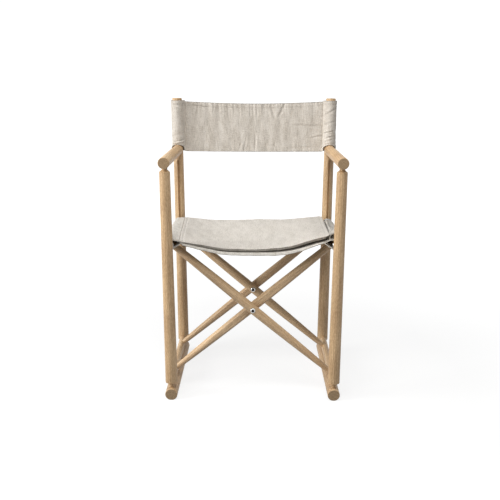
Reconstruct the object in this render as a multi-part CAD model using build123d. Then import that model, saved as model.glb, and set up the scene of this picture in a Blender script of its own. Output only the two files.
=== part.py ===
from build123d import *
import math
import os

# A folding chair of turned wood with a canvas seat and back.
# Two rigid side frames stand on round runners. Two X-frames, one near the
# front and one near the rear, scissor between them: their lower ends pivot
# in the posts, and the seat rails slide up grooves in the posts as it folds.
# +X is the sitter's left-hand side seen from the front, +Y is the back of
# the chair, +Z is up, and the origin is on the floor under its middle.

# ---- driving dimensions, millimetres ----

CHAIR_HEIGHT = 870.0
POST_X = 245.0  # post axes lie at x = -POST_X and x = +POST_X
POST_Y = 180.0  # front posts at y = -POST_Y, rear posts at y = +POST_Y
ROD_FRONT_Y = -200.0  # front ends of armrests and runners
RUNNER_REAR_Y = 200.0

RUNNER_R = 18.3
RUNNER_FLAT = 0.8  # depth planed off the underside of a runner
RUNNER_Z = RUNNER_R - RUNNER_FLAT
ARM_R = 16.0
ARM_Z = 709.0
ROD_CHAMFER = 1.2

POST_FOOT_R = 18.2
POST_FOOT_Z = 52.0  # lower edge of the conical shaft
POST_HEAD_R = 15.3
FRONT_POST_HEAD_Z = 683.0
SHOULDER_RISE = 6.5
NECK_R = 8.0
TENON_DEPTH = 12.0  # how far a neck goes into the rod that holds it
REAR_POST_CHAMFER = 1.5

LOWER_PIVOT_Z = 56.0
SEAT_RAIL_Z = 470.0
FOLD_LIMIT_Z = 673.0  # height of the seat rails when the chair is folded
LOWER_RAIL_R = 11.5
SEAT_RAIL_R = 13.0

PIVOT_PIN_R = 4.0
PIVOT_PIN_IN_RAIL = 14.0
PIVOT_PIN_IN_POST = 13.0
RUNNING_CLEARANCE = 0.05

SLIDE_PIN_R = 3.0
GROOVE_HALF_WIDTH = 3.1
GROOVE_FLOOR_FROM_AXIS = 7.5
SLIDE_PIN_TIP_FROM_AXIS = 8.8
SLIDE_PIN_IN_RAIL = 18.0
COLLAR_R = 16.0
COLLAR_THICKNESS = 2.4
COLLAR_HUB_R = 8.0
COLLAR_HUB_THICKNESS = 1.0
FERRULE_WALL = 1.0
FERRULE_LENGTH = 20.0  # how far a collar's ferrule reaches back over its rail
END_GAP = 0.8  # between a rail's end hardware and the post beside it

CROSS_Y = 106.0  # the X-frames stand at y = -CROSS_Y and y = +CROSS_Y
BAR_OFFSET = 12.3  # bars a lie this far in front of the X-frame's plane
BAR_MID_R = 14.3
BAR_UPPER_QUARTER_R = 13.2
BAR_UPPER_END_R = 10.0
BAR_LOWER_QUARTER_R = 12.4
BAR_LOWER_END_R = 8.0
BAR_TENON_R = 6.0
BAR_FLAT_GAP = 0.6  # from the X-frame's plane to the flat of each bar

BOLT_R = 4.0
BOLT_HEAD_R = 8.0
BOLT_HEAD_H = 5.4
HEX_RECESS_R = 4.4
HEX_RECESS_DEPTH = 3.0
SPOT_FACE = 11.6  # from a bar's axis to the floor of its spot face
SPOT_CLEARANCE = 0.4
NUT_R = 7.5
NUT_H = 6.5
WASHER_R = 11.0
WASHER_THICKNESS = 1.0

CLOTH = 2.2
CLOTH_GAP = 0.3
SEAT_SLEEVE_HALF_LENGTH = 157.0
SEAT_PANEL_HALF_WIDTH = 228.5
SEAT_PANEL_EDGE_Z = 479.0
SEAT_SAG = 24.0
PAD_HALF_WIDTH = 217.0
PAD_FRONT_Y = -156.0
PAD_REAR_Y = 154.0
PAD_THICKNESS = 10.0
BACK_TOP_Z = 861.0
BACK_BOTTOM_Z = 705.0
BACK_SLEEVE_BOTTOM_Z = 727.0
BACK_PANEL_HALF_WIDTH = 226.5
BACK_PANEL_Y = 184.0

DOWEL_R = 4.0
DOWEL_HALF_LENGTH = 15.0

# ---- geometry of the scissor ----

HALF_RISE = (SEAT_RAIL_Z - LOWER_PIVOT_Z) / 2
CROSSING_Z = LOWER_PIVOT_Z + HALF_RISE
HALF_BAR = math.hypot(POST_X, HALF_RISE)
BAR_LEAN = math.degrees(math.atan2(POST_X, HALF_RISE))
FOLD_ANGLE = math.degrees(math.asin((FOLD_LIMIT_Z - LOWER_PIVOT_Z) / (2 * HALF_BAR)))
FOLD_ANGLE -= 90 - BAR_LEAN

LEFT, RIGHT = -1, 1
FRONT, REAR = -1, 1
SIDES = {"left": LEFT, "right": RIGHT}
ENDS = {"front": FRONT, "rear": REAR}


def rod_along_y(radius, y_low, y_high, x=0.0, z=0.0):
    """A round rod whose axis is parallel to Y."""
    middle = (y_low + y_high) / 2
    return Pos(x, middle, z) * Rot(90, 0, 0) * Cylinder(radius, y_high - y_low)


def revolved(points):
    """A solid turned about Z from (radius, z) points that start and end on the axis."""
    outline = make_face(Polyline(*[(r, 0, z) for r, z in points], close=True))
    return revolve(outline, Axis.Z)


def shaft_radius(z, top_z):
    """Radius of a post's conical shaft at height z."""
    share = (z - POST_FOOT_Z) / (top_z - POST_FOOT_Z)
    return POST_FOOT_R + share * (POST_HEAD_R - POST_FOOT_R)


def front_post_radius(z):
    return shaft_radius(z, FRONT_POST_HEAD_Z)


def rear_post_radius(z):
    return shaft_radius(z, CHAIR_HEIGHT)


# ---- side frames ----


def foot_points():
    """The foot of every post: a tenon in the runner, a neck and a coned shoulder."""
    tenon_z = RUNNER_Z + RUNNER_R - TENON_DEPTH
    return [(0, tenon_z), (NECK_R, tenon_z), (NECK_R, POST_FOOT_Z - SHOULDER_RISE), (POST_FOOT_R, POST_FOOT_Z)]


def groove(end):
    """The slot along a post's inner face in which a seat rail's pin slides."""
    low = SEAT_RAIL_Z - 1
    high = FOLD_LIMIT_Z + 1
    depth = POST_FOOT_R
    middle_y = -end * (GROOVE_FLOOR_FROM_AXIS + depth / 2)
    slot = Pos(0, middle_y, (low + high) / 2) * Box(2 * GROOVE_HALF_WIDTH, depth, high - low)
    for z in (low, high):
        slot += rod_along_y(GROOVE_HALF_WIDTH, middle_y - depth / 2, middle_y + depth / 2, z=z)
    return slot


def pivot_hole(end):
    """The blind hole in which a lower rail's pin turns."""
    depth = PIVOT_PIN_IN_POST + 1
    mouth = -end * (POST_FOOT_R + 2)
    floor = -end * (POST_FOOT_R - depth)
    radius = PIVOT_PIN_R + RUNNING_CLEARANCE
    return rod_along_y(radius, min(mouth, floor), max(mouth, floor), z=LOWER_PIVOT_Z)


def front_post(side):
    head_z = FRONT_POST_HEAD_Z
    tenon_top = ARM_Z - ARM_R + TENON_DEPTH
    points = foot_points() + [
        (POST_HEAD_R, head_z),
        (NECK_R, head_z + SHOULDER_RISE),
        (NECK_R, tenon_top),
        (0, tenon_top),
    ]
    post = revolved(points) - groove(FRONT) - pivot_hole(FRONT)
    return Pos(side * POST_X, -POST_Y, 0) * post


def arm_dowel_hole(side):
    return rod_along_y(DOWEL_R, arm_dowel_y(-1), arm_dowel_y(1), side * POST_X, ARM_Z)


def arm_dowel_y(direction):
    """Ends of the dowel between an armrest and its rear post."""
    return POST_Y - rear_post_radius(ARM_Z) + direction * DOWEL_HALF_LENGTH


def rear_post(side):
    top = CHAIR_HEIGHT
    points = foot_points() + [
        (POST_HEAD_R, top - REAR_POST_CHAMFER),
        (POST_HEAD_R - REAR_POST_CHAMFER, top),
        (0, top),
    ]
    post = revolved(points) - groove(REAR) - pivot_hole(REAR)
    return Pos(side * POST_X, POST_Y, 0) * post - arm_dowel_hole(side)


def armrest(side):
    """A rod coped to the rear post, bored for the front post's tenon and the dowel."""
    rod = rod_along_y(ARM_R, ROD_FRONT_Y, POST_Y, side * POST_X, ARM_Z)
    rod = chamfer(rod.edges().group_by(Axis.Y)[0], ROD_CHAMFER)
    cope = Pos(side * POST_X, POST_Y, 0) * revolved(
        [(0, POST_FOOT_Z), (POST_FOOT_R, POST_FOOT_Z), (POST_HEAD_R, CHAIR_HEIGHT), (0, CHAIR_HEIGHT)]
    )
    return rod - cope - front_post(side) - arm_dowel_hole(side)


def arm_dowel(side):
    return arm_dowel_hole(side)


def runner(side):
    """A rod planed flat underneath and bored for the tenons of both posts."""
    rod = rod_along_y(RUNNER_R, ROD_FRONT_Y, RUNNER_REAR_Y, side * POST_X, RUNNER_Z)
    ends = rod.edges().group_by(Axis.Y)
    rod = chamfer(ends[0] + ends[-1], ROD_CHAMFER)
    below_floor = Pos(side * POST_X, 0, -RUNNER_R / 2) * Box(3 * RUNNER_R, 3 * POST_Y, RUNNER_R)
    rod -= below_floor
    tenon_z = RUNNER_Z + RUNNER_R - TENON_DEPTH
    for y in (-POST_Y, POST_Y):
        rod -= Pos(side * POST_X, y, tenon_z + TENON_DEPTH) * Cylinder(NECK_R, 2 * TENON_DEPTH)
    return rod


# ---- X-frames ----


def bar_place(kind, end):
    """Frame of a cross bar: local Z runs up the bar, and its origin is at the bolt."""
    direction = 1 if kind == "b" else -1
    return Pos(0, end * CROSS_Y + direction * BAR_OFFSET, CROSSING_Z) * Rot(0, direction * BAR_LEAN, 0)


def bar_body(grow=0.0):
    """The turned shape of a cross bar, thick in the middle and thinner to both ends."""
    lower = -(HALF_BAR - LOWER_RAIL_R + 3)
    upper = HALF_BAR - SEAT_RAIL_R + 4
    side = Spline(
        (BAR_LOWER_END_R + grow, 0, lower),
        (BAR_LOWER_QUARTER_R + grow, 0, lower / 2),
        (BAR_MID_R + grow, 0, 0),
        (BAR_UPPER_QUARTER_R + grow, 0, upper / 2),
        (BAR_UPPER_END_R + grow, 0, upper),
    )
    rest = Polyline((BAR_UPPER_END_R + grow, 0, upper), (0, 0, upper), (0, 0, lower), (BAR_LOWER_END_R + grow, 0, lower))
    return revolve(make_face(side + rest), Axis.Z)


def bar_tenons():
    """Round tenons at both ends of a bar, which go into the rails."""
    length = 2 * HALF_BAR
    return Cylinder(BAR_TENON_R, length)


def rail_blank(radius, half_length):
    return rod_along_y(radius, -half_length, half_length)


def cross_bar(kind, end):
    direction = 1 if kind == "b" else -1
    bar = bar_body()
    far = HALF_BAR + 40
    for z, radius in ((-HALF_BAR, LOWER_RAIL_R), (HALF_BAR, SEAT_RAIL_R)):
        bar -= Pos(0, 0, z) * rail_blank(radius, BAR_MID_R + 2)
    bar += bar_tenons()
    flat_y = direction * BAR_OFFSET - direction * BAR_FLAT_GAP
    bar -= Pos(0, -flat_y - direction * 20, 0) * Box(80, 40, 2 * far)
    spot_y = direction * (SPOT_FACE + 10)
    bar -= rod_along_y(BOLT_HEAD_R + SPOT_CLEARANCE, min(spot_y - 10, spot_y + 10), max(spot_y - 10, spot_y + 10))
    hole_r = BOLT_R if kind == "b" else BOLT_R + RUNNING_CLEARANCE
    bar -= rod_along_y(hole_r, -40, 40)
    return bar_place(kind, end) * bar


def crossing_bolt(end):
    """A button-head bolt through both bars, with a hexagon recess in its head."""
    plane_y = end * CROSS_Y
    head_floor = plane_y - BAR_OFFSET - SPOT_FACE - RUNNING_CLEARANCE
    tip = plane_y + BAR_OFFSET + SPOT_FACE + NUT_H - 1.5
    shank = rod_along_y(BOLT_R, head_floor, tip, z=CROSSING_Z)
    head = rod_along_y(BOLT_HEAD_R, head_floor - BOLT_HEAD_H, head_floor, z=CROSSING_Z)
    head = fillet(head.edges().group_by(Axis.Y)[0], BOLT_HEAD_H * 0.7)
    recess = extrude(RegularPolygon(HEX_RECESS_R, 6), HEX_RECESS_DEPTH)
    recess = Pos(0, head_floor - BOLT_HEAD_H + HEX_RECESS_DEPTH, CROSSING_Z) * Rot(90, 0, 0) * recess
    return shank + (head - recess)


def crossing_nut(end):
    """A domed nut in the spot face of a bar b."""
    floor_y = end * CROSS_Y + BAR_OFFSET + SPOT_FACE
    nut = rod_along_y(NUT_R, floor_y, floor_y + NUT_H, z=CROSSING_Z)
    nut = fillet(nut.edges().group_by(Axis.Y)[-1], NUT_H * 0.6)
    return nut - rod_along_y(BOLT_R, floor_y - 1, floor_y + NUT_H - 1.5, z=CROSSING_Z)


def crossing_washer(end):
    high = end * CROSS_Y + BAR_FLAT_GAP
    ring = rod_along_y(WASHER_R, high - WASHER_THICKNESS, high, z=CROSSING_Z)
    return ring - rod_along_y(BOLT_R, high - 2, high + 1, z=CROSSING_Z)


# ---- rails and their end hardware ----


def lower_rail_end():
    return POST_Y - POST_FOOT_R - END_GAP


def seat_rail_end():
    post_face = POST_Y - max(front_post_radius(SEAT_RAIL_Z), rear_post_radius(SEAT_RAIL_Z))
    return post_face - END_GAP - COLLAR_HUB_THICKNESS - COLLAR_THICKNESS


def pin_bores(half_length, radius, depth):
    bores = Part()
    for end in (FRONT, REAR):
        ys = sorted((end * (half_length - depth), end * (half_length + 1)))
        bores += rod_along_y(radius, *ys)
    return bores


def tenon_holes(kind, x, z):
    """The holes that a rail has for the tenons of its two bars."""
    holes = Part()
    for end in (FRONT, REAR):
        holes += bar_place(kind, end) * bar_tenons()
    return Pos(-x, 0, -z) * holes


def rail(kind, side, z, radius, half_length, pin_radius, pin_depth):
    x = side * POST_X
    blank = rail_blank(radius, half_length)
    ends = blank.edges().group_by(Axis.Y)
    blank = chamfer(ends[0] + ends[-1], ROD_CHAMFER)
    blank -= pin_bores(half_length, pin_radius, pin_depth)
    blank -= tenon_holes(kind, x, z)
    return Pos(x, 0, z) * blank


def lower_rail(side):
    kind = "b" if side == LEFT else "a"
    return rail(kind, side, LOWER_PIVOT_Z, LOWER_RAIL_R, lower_rail_end(), PIVOT_PIN_R, PIVOT_PIN_IN_RAIL)


def ferrule(side, end):
    """The thin tube of a collar that fits over the turned-down end of a seat rail."""
    ys = sorted((end * (seat_rail_end() - FERRULE_LENGTH), end * seat_rail_end()))
    x = side * POST_X
    tube = rod_along_y(SEAT_RAIL_R, *ys, x, SEAT_RAIL_Z)
    return tube - rod_along_y(SEAT_RAIL_R - FERRULE_WALL, *ys, x, SEAT_RAIL_Z)


def seat_rail(side):
    kind = "a" if side == LEFT else "b"
    body = rail(kind, side, SEAT_RAIL_Z, SEAT_RAIL_R, seat_rail_end(), SLIDE_PIN_R, SLIDE_PIN_IN_RAIL)
    return body - ferrule(side, FRONT) - ferrule(side, REAR)


def pivot_pin(side, end):
    ys = sorted((end * (lower_rail_end() - PIVOT_PIN_IN_RAIL), end * (POST_Y - POST_FOOT_R + PIVOT_PIN_IN_POST)))
    return rod_along_y(PIVOT_PIN_R, *ys, side * POST_X, LOWER_PIVOT_Z)


def slide_pin(side, end):
    ys = sorted((end * (seat_rail_end() - SLIDE_PIN_IN_RAIL), end * (POST_Y - SLIDE_PIN_TIP_FROM_AXIS)))
    return rod_along_y(SLIDE_PIN_R, *ys, side * POST_X, SEAT_RAIL_Z)


def rail_collar(side, end):
    """A turned steel collar between a seat rail's end and the post, with a ferrule over the rail."""
    start = seat_rail_end()
    step = start + COLLAR_THICKNESS
    disc = rod_along_y(COLLAR_R, *sorted((end * start, end * step)), side * POST_X, SEAT_RAIL_Z)
    disc = chamfer(disc.edges(), COLLAR_THICKNESS / 4)
    hub = rod_along_y(COLLAR_HUB_R, *sorted((end * step, end * (step + COLLAR_HUB_THICKNESS))), side * POST_X, SEAT_RAIL_Z)
    bore = rod_along_y(SLIDE_PIN_R, -POST_Y, POST_Y, side * POST_X, SEAT_RAIL_Z)
    return disc + hub + ferrule(side, end) - bore


# ---- canvas ----


def seat_sleeve(side):
    """The cloth tube around a seat rail, notched where the cross bars reach the rail."""
    kind = "a" if side == LEFT else "b"
    inner = SEAT_RAIL_R + CLOTH_GAP
    half = SEAT_SLEEVE_HALF_LENGTH
    tube = rod_along_y(inner + CLOTH, -half, half, side * POST_X, SEAT_RAIL_Z)
    tube -= rod_along_y(inner, -half - 1, half + 1, side * POST_X, SEAT_RAIL_Z)
    for end in (FRONT, REAR):
        tube -= bar_place(kind, end) * (Pos(0, 0, HALF_BAR / 2) * Cylinder(BAR_UPPER_END_R + 3, HALF_BAR))
    return tube


def sagging_slab(half_width, edge_z, sag, thickness, y_low, y_high):
    """A sheet that hangs in an arc between two rails parallel to Y."""
    points = [(-half_width, edge_z), (0, edge_z - sag), (half_width, edge_z)]
    top = ThreePointArc(*[(x, 0, z) for x, z in points])
    under = ThreePointArc(*[(x, 0, z - thickness) for x, z in points])
    ends = [Line(top @ t, under @ t) for t in (0, 1)]
    face = make_face([top, under, *ends])
    return Pos(0, y_high, 0) * extrude(face, y_high - y_low, dir=(0, -1, 0))


def seat_panel():
    half = SEAT_SLEEVE_HALF_LENGTH
    return sagging_slab(SEAT_PANEL_HALF_WIDTH, SEAT_PANEL_EDGE_Z, SEAT_SAG, CLOTH, -half, half)


def seat_pad():
    """The pad follows the arc of the sling, just above it."""
    share = PAD_HALF_WIDTH / SEAT_PANEL_HALF_WIDTH
    rise_lost = SEAT_SAG * (1 - share**2)
    edge_z = SEAT_PANEL_EDGE_Z - rise_lost + PAD_THICKNESS + 2 * CLOTH_GAP
    sag = SEAT_SAG - rise_lost
    return sagging_slab(PAD_HALF_WIDTH, edge_z, sag, PAD_THICKNESS, PAD_FRONT_Y, PAD_REAR_Y)


def back_sleeve(side):
    """The cloth tube around the top of a rear post."""
    low, high = BACK_SLEEVE_BOTTOM_Z, BACK_TOP_Z
    radii = [rear_post_radius(z) + CLOTH_GAP for z in (low, high)]
    outer = revolved([(0, low), (radii[0] + CLOTH, low), (radii[1] + CLOTH, high), (0, high)])
    inner = revolved([(0, low), (radii[0], low), (radii[1], high), (0, high)])
    return Pos(side * POST_X, POST_Y, 0) * (outer - inner)


def back_panel():
    height = BACK_TOP_Z - BACK_BOTTOM_Z
    return Pos(0, BACK_PANEL_Y, BACK_BOTTOM_Z + height / 2) * Box(2 * BACK_PANEL_HALF_WIDTH, CLOTH, height)


# ---- the nodes ----


def pieces():
    """Every node by name, as a list of its solids."""
    nodes = {}
    for name, side in SIDES.items():
        nodes[f"front_post_{name}"] = [front_post(side)]
        nodes[f"rear_post_{name}"] = [rear_post(side)]
        nodes[f"armrest_{name}"] = [armrest(side)]
        nodes[f"runner_{name}"] = [runner(side)]
        nodes[f"arm_dowel_{name}"] = [arm_dowel(side)]
        nodes[f"lower_rail_{name}"] = [lower_rail(side)]
        nodes[f"seat_rail_{name}"] = [seat_rail(side)]
        nodes[f"pivot_pins_{name}"] = [pivot_pin(side, end) for end in ENDS.values()]
        nodes[f"slide_pins_{name}"] = [slide_pin(side, end) for end in ENDS.values()]
        nodes[f"rail_collars_{name}"] = [rail_collar(side, end) for end in ENDS.values()]
        nodes[f"seat_sleeve_{name}"] = [seat_sleeve(side)]
        nodes[f"back_sleeve_{name}"] = [back_sleeve(side)]
    for name, end in ENDS.items():
        for kind in ("a", "b"):
            nodes[f"cross_bar_{name}_{kind}"] = [cross_bar(kind, end)]
    nodes["crossing_bolts"] = [crossing_bolt(end) for end in ENDS.values()]
    nodes["crossing_nuts"] = [crossing_nut(end) for end in ENDS.values()]
    nodes["crossing_washers"] = [crossing_washer(end) for end in ENDS.values()]
    nodes["seat_panel"] = [seat_panel()]
    nodes["seat_pad"] = [seat_pad()]
    nodes["back_panel"] = [back_panel()]
    return nodes


os.makedirs("parts", exist_ok=True)
for node, solids in pieces().items():
    shape = solids[0] if len(solids) == 1 else Compound(children=solids)
    export_step(shape, f"parts/{node}.step")
print(f"half bar {HALF_BAR:.3f} mm, crossing at z {CROSSING_Z:.3f} mm, fold angle {FOLD_ANGLE:.3f} degrees")
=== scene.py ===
import math

import bmesh
import bpy
import numpy as np
from mathutils import Matrix, Vector


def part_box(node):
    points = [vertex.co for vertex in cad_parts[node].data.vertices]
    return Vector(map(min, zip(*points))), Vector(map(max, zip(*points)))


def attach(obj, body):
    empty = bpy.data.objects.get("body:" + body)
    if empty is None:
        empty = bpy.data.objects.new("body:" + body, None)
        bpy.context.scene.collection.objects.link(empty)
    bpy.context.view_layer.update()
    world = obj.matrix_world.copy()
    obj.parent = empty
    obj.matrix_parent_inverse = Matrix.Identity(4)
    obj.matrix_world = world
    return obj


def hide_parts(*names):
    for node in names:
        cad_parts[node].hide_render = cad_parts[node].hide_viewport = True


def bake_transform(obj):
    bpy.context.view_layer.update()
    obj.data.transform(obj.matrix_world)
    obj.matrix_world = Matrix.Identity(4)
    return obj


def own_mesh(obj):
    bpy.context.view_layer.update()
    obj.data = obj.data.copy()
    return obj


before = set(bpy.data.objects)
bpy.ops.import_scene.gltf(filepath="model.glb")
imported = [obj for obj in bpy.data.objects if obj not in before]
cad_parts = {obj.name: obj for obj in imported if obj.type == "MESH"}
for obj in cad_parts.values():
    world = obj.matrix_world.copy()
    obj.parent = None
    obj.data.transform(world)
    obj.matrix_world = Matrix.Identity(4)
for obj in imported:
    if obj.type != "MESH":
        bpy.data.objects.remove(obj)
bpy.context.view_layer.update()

MM = 0.001


# -------- places from the frame


def centre(node):
    low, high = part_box(node)
    return (low + high) / 2


POST_X = centre("runner_right").x
POST_Y = centre("back_sleeve_right").y
CHAIR_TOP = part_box("rear_post_right")[1].z
FOOT_R = (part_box("rear_post_right")[1].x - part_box("rear_post_right")[0].x) / 2
RAIL = centre("seat_rail_right")
RAIL_R = (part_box("seat_rail_right")[1].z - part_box("seat_rail_right")[0].z) / 2
CROSSING = centre("crossing_bolts")
LOWER_PIVOT = centre("lower_rail_right")
BAR_LEAN = math.atan2(RAIL.x, RAIL.z - CROSSING.z)
SLEEVE_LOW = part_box("back_sleeve_right")[0].z
SLEEVE_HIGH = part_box("back_sleeve_right")[1].z + 1.5 * MM
BACK_LOW, BACK_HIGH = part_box("back_panel")
PAD_LOW, PAD_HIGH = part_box("seat_pad")


# -------- shader helpers


class Shader:
    """A node material, built one node at a time."""

    def __init__(self, name):
        self.material = bpy.data.materials.new(name)
        self.material.use_nodes = True
        self.tree = self.material.node_tree
        self.tree.nodes.clear()
        self.output = self.add("ShaderNodeOutputMaterial")
        self.surface = self.add("ShaderNodeBsdfPrincipled")
        self.tree.links.new(self.surface.outputs[0], self.output.inputs["Surface"])

    def add(self, kind, inputs=None, **properties):
        node = self.tree.nodes.new(kind)
        for name, value in properties.items():
            setattr(node, name, value)
        for name, value in (inputs or {}).items():
            self.feed(node.inputs[name], value)
        return node

    def feed(self, socket, value):
        if isinstance(value, bpy.types.NodeSocket):
            self.tree.links.new(value, socket)
        else:
            socket.default_value = value

    def math(self, operation, a, b=0.0, clamp=False):
        node = self.add("ShaderNodeMath", {0: a, 1: b}, operation=operation, use_clamp=clamp)
        return node.outputs[0]

    def noise(self, vector, scale, detail, roughness):
        inputs = {"Vector": vector, "Scale": scale, "Detail": detail, "Roughness": roughness}
        return self.add("ShaderNodeTexNoise", inputs).outputs["Fac"]

    def mapping(self, vector, rotation=(0, 0, 0), scale=(1, 1, 1), location=(0, 0, 0)):
        inputs = {"Vector": vector, "Rotation": rotation, "Scale": scale, "Location": location}
        return self.add("ShaderNodeMapping", inputs).outputs[0]

    def ramp(self, factor, stops):
        node = self.add("ShaderNodeValToRGB", {"Fac": factor})
        elements = node.color_ramp.elements
        while len(elements) < len(stops):
            elements.new(0.5)
        for element, (place, colour) in zip(elements, stops):
            element.position = place
            element.color = (*colour, 1)
        return node.outputs["Color"]

    def stretch(self, factor, low, high, to_low=0.0, to_high=1.0):
        inputs = {"Value": factor, "From Min": low, "From Max": high, "To Min": to_low, "To Max": to_high}
        return self.add("ShaderNodeMapRange", inputs).outputs[0]

    def mix(self, factor, a, b):
        node = self.add("ShaderNodeMix", data_type="RGBA")
        self.feed(node.inputs["Factor"], factor)
        self.feed(node.inputs["A"], (*a, 1) if isinstance(a, tuple) else a)
        self.feed(node.inputs["B"], (*b, 1) if isinstance(b, tuple) else b)
        return node.outputs["Result"]

    def bump(self, height, strength, distance):
        node = self.add("ShaderNodeBump", {"Height": height, "Strength": strength, "Distance": distance})
        self.feed(self.surface.inputs["Normal"], node.outputs[0])

    def set(self, **values):
        for name, value in values.items():
            self.feed(self.surface.inputs[name.replace("_", " ")], value)


def srgb(red, green, blue):
    """Linear colour from 0 to 255 display values."""
    return tuple(((c / 255 + 0.055) / 1.055) ** 2.4 if c > 10 else c / 3294.6 for c in (red, green, blue))


# -------- materials

THREAD_WIDTH = 0.95 * MM


def oak(name, rotation, light, dark, seed, along):
    """Oiled oak whose grain runs along local Z once the coordinates are turned by rotation."""
    s = Shader(name)
    place = s.add("ShaderNodeTexCoord").outputs["Object"]
    grain_space = s.mapping(place, rotation=rotation, location=(seed * 0.37, seed * 0.11, seed * 0.23))
    drift = s.noise(s.mapping(grain_space, scale=(11, 11, 1.6)), 1.0, 2, 0.5)
    push = s.add(
        "ShaderNodeCombineXYZ",
        {"X": s.stretch(drift, 0, 1, -0.02, 0.02), "Y": s.stretch(drift, 0, 1, 0.014, -0.014)},
    )
    warped = s.add("ShaderNodeVectorMath", {0: grain_space, 1: push.outputs[0]}, operation="ADD").outputs[0]
    rings = s.add(
        "ShaderNodeTexWave",
        {"Vector": s.mapping(warped, scale=(1, 0.4, 0.03)), "Scale": 70.0, "Distortion": 3.5, "Detail": 3.0,
         "Detail Scale": 1.6, "Detail Roughness": 0.6},
        wave_type="BANDS",
        bands_direction="X",
    ).outputs["Fac"]
    streaks = s.noise(s.mapping(grain_space, scale=(380, 380, 12)), 1.0, 4, 0.62)
    fine = s.noise(s.mapping(grain_space, scale=(1300, 1300, 60)), 1.0, 3, 0.65)
    flecks = s.noise(s.mapping(grain_space, scale=(520, 520, 120)), 1.0, 2, 0.6)
    pores = s.stretch(s.noise(s.mapping(grain_space, scale=(2300, 2300, 130)), 1.0, 1, 0.5), 0.60, 0.68)
    blotch = s.noise(s.mapping(grain_space, scale=(30, 30, 7)), 1.0, 3, 0.55)
    tone = s.math("ADD", s.math("MULTIPLY", rings, 0.13), s.stretch(streaks, 0.35, 0.68, 0.0, 0.34))
    tone = s.math("ADD", tone, s.stretch(blotch, 0.3, 0.7, -0.10, 0.20))
    tone = s.math("ADD", tone, s.stretch(flecks, 0.32, 0.7, -0.12, 0.22))
    tone = s.math("ADD", tone, s.stretch(fine, 0.3, 0.7, -0.10, 0.12), clamp=True)
    middle = tuple((a * b) ** 0.5 for a, b in zip(light, dark))
    colour = s.ramp(tone, [(0.0, light), (0.52, middle), (1.0, dark)])
    pore_colour = tuple(c * 0.5 for c in dark)
    colour = s.mix(s.math("MULTIPLY", pores, 0.45), colour, pore_colour)
    normal = s.add("ShaderNodeTexCoord").outputs["Normal"]
    facing = s.add("ShaderNodeVectorMath", {0: normal, 1: along}, operation="DOT_PRODUCT").outputs["Value"]
    end_mask = s.stretch(s.math("ABSOLUTE", facing), 0.90, 0.96)
    end_rings = s.add(
        "ShaderNodeTexWave",
        {"Vector": s.mapping(grain_space, scale=(1, 1, 0.01)), "Scale": 190.0, "Distortion": 3.0,
         "Detail": 3.0},
        wave_type="BANDS",
        bands_direction="DIAGONAL",
    ).outputs["Fac"]
    end_speck = s.noise(grain_space, 420.0, 4, 0.7)
    end_tone = s.math("MULTIPLY", end_rings, 0.4)
    end_tone = s.math("ADD", end_tone, s.stretch(end_speck, 0.35, 0.65, 0.0, 0.6), clamp=True)
    end_light = tuple(c * 0.66 for c in light)
    end_dark = tuple(c * 0.58 for c in dark)
    colour = s.mix(end_mask, colour, s.ramp(end_tone, [(0.0, end_light), (1.0, end_dark)]))
    s.set(Base_Color=colour, Roughness=s.stretch(tone, 0, 1, 0.44, 0.56), IOR=1.45, Specular_IOR_Level=0.45)
    height = s.math("SUBTRACT", s.math("MULTIPLY", streaks, 0.5), s.math("MULTIPLY", pores, 0.8))
    s.bump(s.math("ADD", height, s.math("MULTIPLY", fine, 0.3)), 0.3, 0.00016)
    return s.material


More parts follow.
